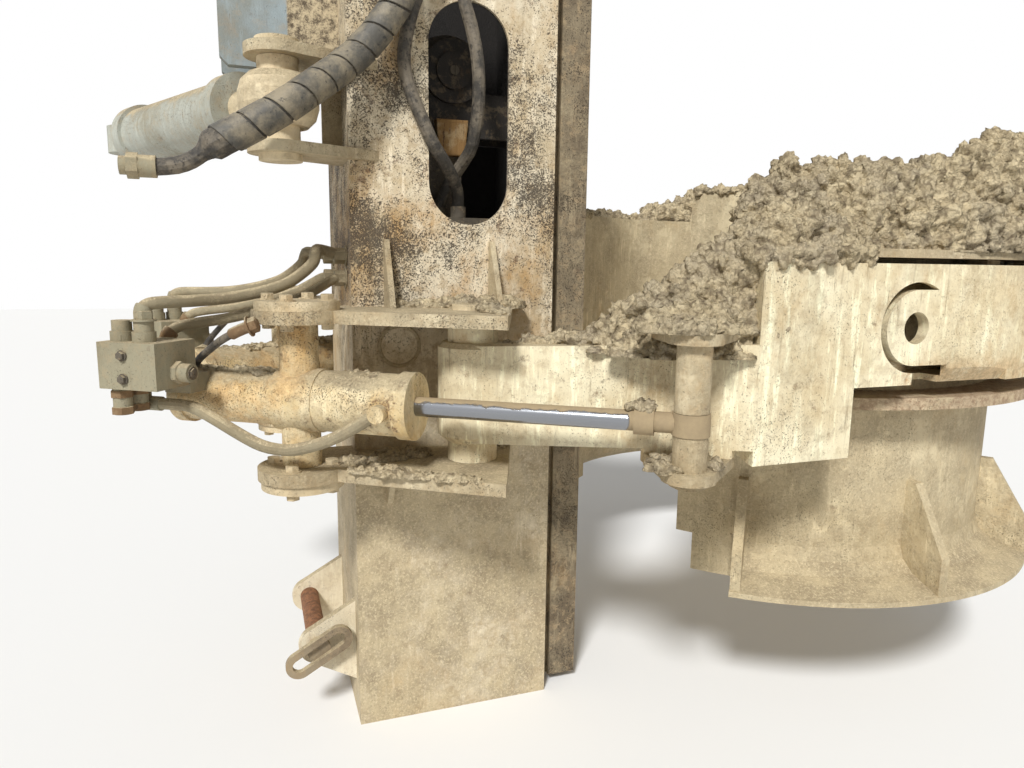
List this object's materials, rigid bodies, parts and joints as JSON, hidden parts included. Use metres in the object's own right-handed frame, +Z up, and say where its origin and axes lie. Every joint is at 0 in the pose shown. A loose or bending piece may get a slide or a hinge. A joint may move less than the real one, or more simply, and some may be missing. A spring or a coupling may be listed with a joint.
{
  "type": "mast foot with hinged auger guide",
  "caption": "Lower mast section of a rotary drilling rig with guide rails, side windows and a two-part bell-shaped auger guide on swinging arms opened by hydraulic cylinders",
  "frame": {"origin": "centre of the top face of the bolted mast joint", "axes": "+X forward to the auger, +Y to the machine's left, +Z up along the mast"},
  "size_m": [2.9294, 1.8174, 2.35],
  "materials": {
    "cream_steel": "cream paint, worn and muddy",
    "rail_steel": "bare steel with dried mud",
    "cap_steel": "muddy steel",
    "pin_steel": "greased dark steel",
    "rusty_steel": "rusty steel",
    "chrome_rod": "hard chrome with dust",
    "block_steel": "olive dusty valve block",
    "stay_paint": "pale grey paint",
    "blue_grey": "pale blue grey paint",
    "inner_steel": "inner steel, brown with dust",
    "hose_wrap": "dark grey spiral wrap, dusty",
    "hose_rubber": "black rubber under dried mud"
  },
  "bodies": {
    "mast": {"side_plate_near": "cream_steel", "side_plate_far": "cream_steel", "front_plate": "cream_steel", "rear_plate": "cream_steel", "guide_rails": "rail_steel", "joint_flange": "cream_steel", "foot_plate": "inner_steel", "bracket_near": "cream_steel", "bracket_far": "cream_steel", "trunnion_caps_near": "cap_steel", "trunnion_caps_far": "cap_steel", "hinge_pin_near": "pin_steel", "hinge_pin_far": "pin_steel", "stay_clevis": "cream_steel", "stay_pin": "pin_steel", "rear_bracket": "blue_grey", "foot_lugs": "cream_steel", "foot_pin": "rusty_steel", "sheave_frame": "rusty_steel", "hose_header": "block_steel", "hose_bundle": "hose_wrap", "hose_coupling": "pin_steel", "window_hoses": "hose_rubber"},
    "arm_near": {"beam_near": "cream_steel", "frame_near": "cream_steel", "shell_near": "cream_steel", "hopper_near": "inner_steel", "ledge_near": "cream_steel", "lugs_near": "cream_steel", "rod_pin_near": "cap_steel"},
    "arm_far": {"beam_far": "cream_steel", "frame_far": "cream_steel", "shell_far": "cream_steel", "hopper_far": "inner_steel", "ledge_far": "cream_steel", "lugs_far": "cream_steel", "rod_pin_far": "cap_steel"},
    "barrel_near": {"cylinder_near": "cream_steel", "valve_block_near": "block_steel", "barrel_hose_near": "hose_rubber"},
    "barrel_far": {"cylinder_far": "cream_steel", "valve_block_far": "block_steel", "barrel_hose_far": "hose_rubber"},
    "rod_near": {"rod_near": "chrome_rod"},
    "rod_far": {"rod_far": "chrome_rod"},
    "stay_end": {"stay_rod": "cap_steel"},
    "stay_barrel": {"stay_cylinder": "stay_paint"},
    "sheave": {"sheave": "pin_steel"}
  },
  "joints": [
    {"name": "arm_near_swing", "type": "hinge", "parent": "mast", "child": "arm_near", "pos_m": [0, -0.4, -1.401], "axis": [0, 0, -1], "range_deg": [0, 60]},
    {"name": "arm_far_swing", "type": "hinge", "parent": "mast", "child": "arm_far", "pos_m": [0, 0.4, -1.401], "axis": [0, 0, 1], "range_deg": [0, 60]},
    {"name": "barrel_near_swing", "type": "hinge", "parent": "mast", "child": "barrel_near", "pos_m": [-0.413, -0.34, -1.401], "axis": [0, 0, -1], "range_deg": [0, 38]},
    {"name": "barrel_far_swing", "type": "hinge", "parent": "mast", "child": "barrel_far", "pos_m": [-0.413, 0.34, -1.401], "axis": [0, 0, 1], "range_deg": [0, 38]},
    {"name": "rod_near_slide", "type": "slide", "parent": "barrel_near", "child": "rod_near", "axis": [0.8294, -0.5587, 0], "range_m": [-0.285, 0]},
    {"name": "rod_far_slide", "type": "slide", "parent": "barrel_far", "child": "rod_far", "axis": [0.8294, 0.5587, 0], "range_m": [-0.285, 0]},
    {"name": "stay_swing", "type": "hinge", "parent": "mast", "child": "stay_end", "pos_m": [-0.435, -0.265, -0.705], "axis": [0, 0, 1], "range_deg": [-25, 25]},
    {"name": "stay_stroke", "type": "slide", "parent": "stay_end", "child": "stay_barrel", "axis": [-0.4695, 0.8829, 0], "range_m": [0, 0.15]},
    {"name": "sheave_turn", "type": "hinge", "parent": "mast", "child": "sheave", "pos_m": [0.034, 0, -0.553], "axis": [0, 1, 0], "continuous": true}
  ],
  "couplings": [
    {"joint": "barrel_near_swing", "follows": "arm_near_swing", "ratio": 0.609},
    {"joint": "rod_near_slide", "follows": "arm_near_swing", "m_per_rad": -0.27},
    {"joint": "barrel_far_swing", "follows": "arm_far_swing", "ratio": 0.609},
    {"joint": "rod_far_slide", "follows": "arm_far_swing", "m_per_rad": -0.27}
  ]
}
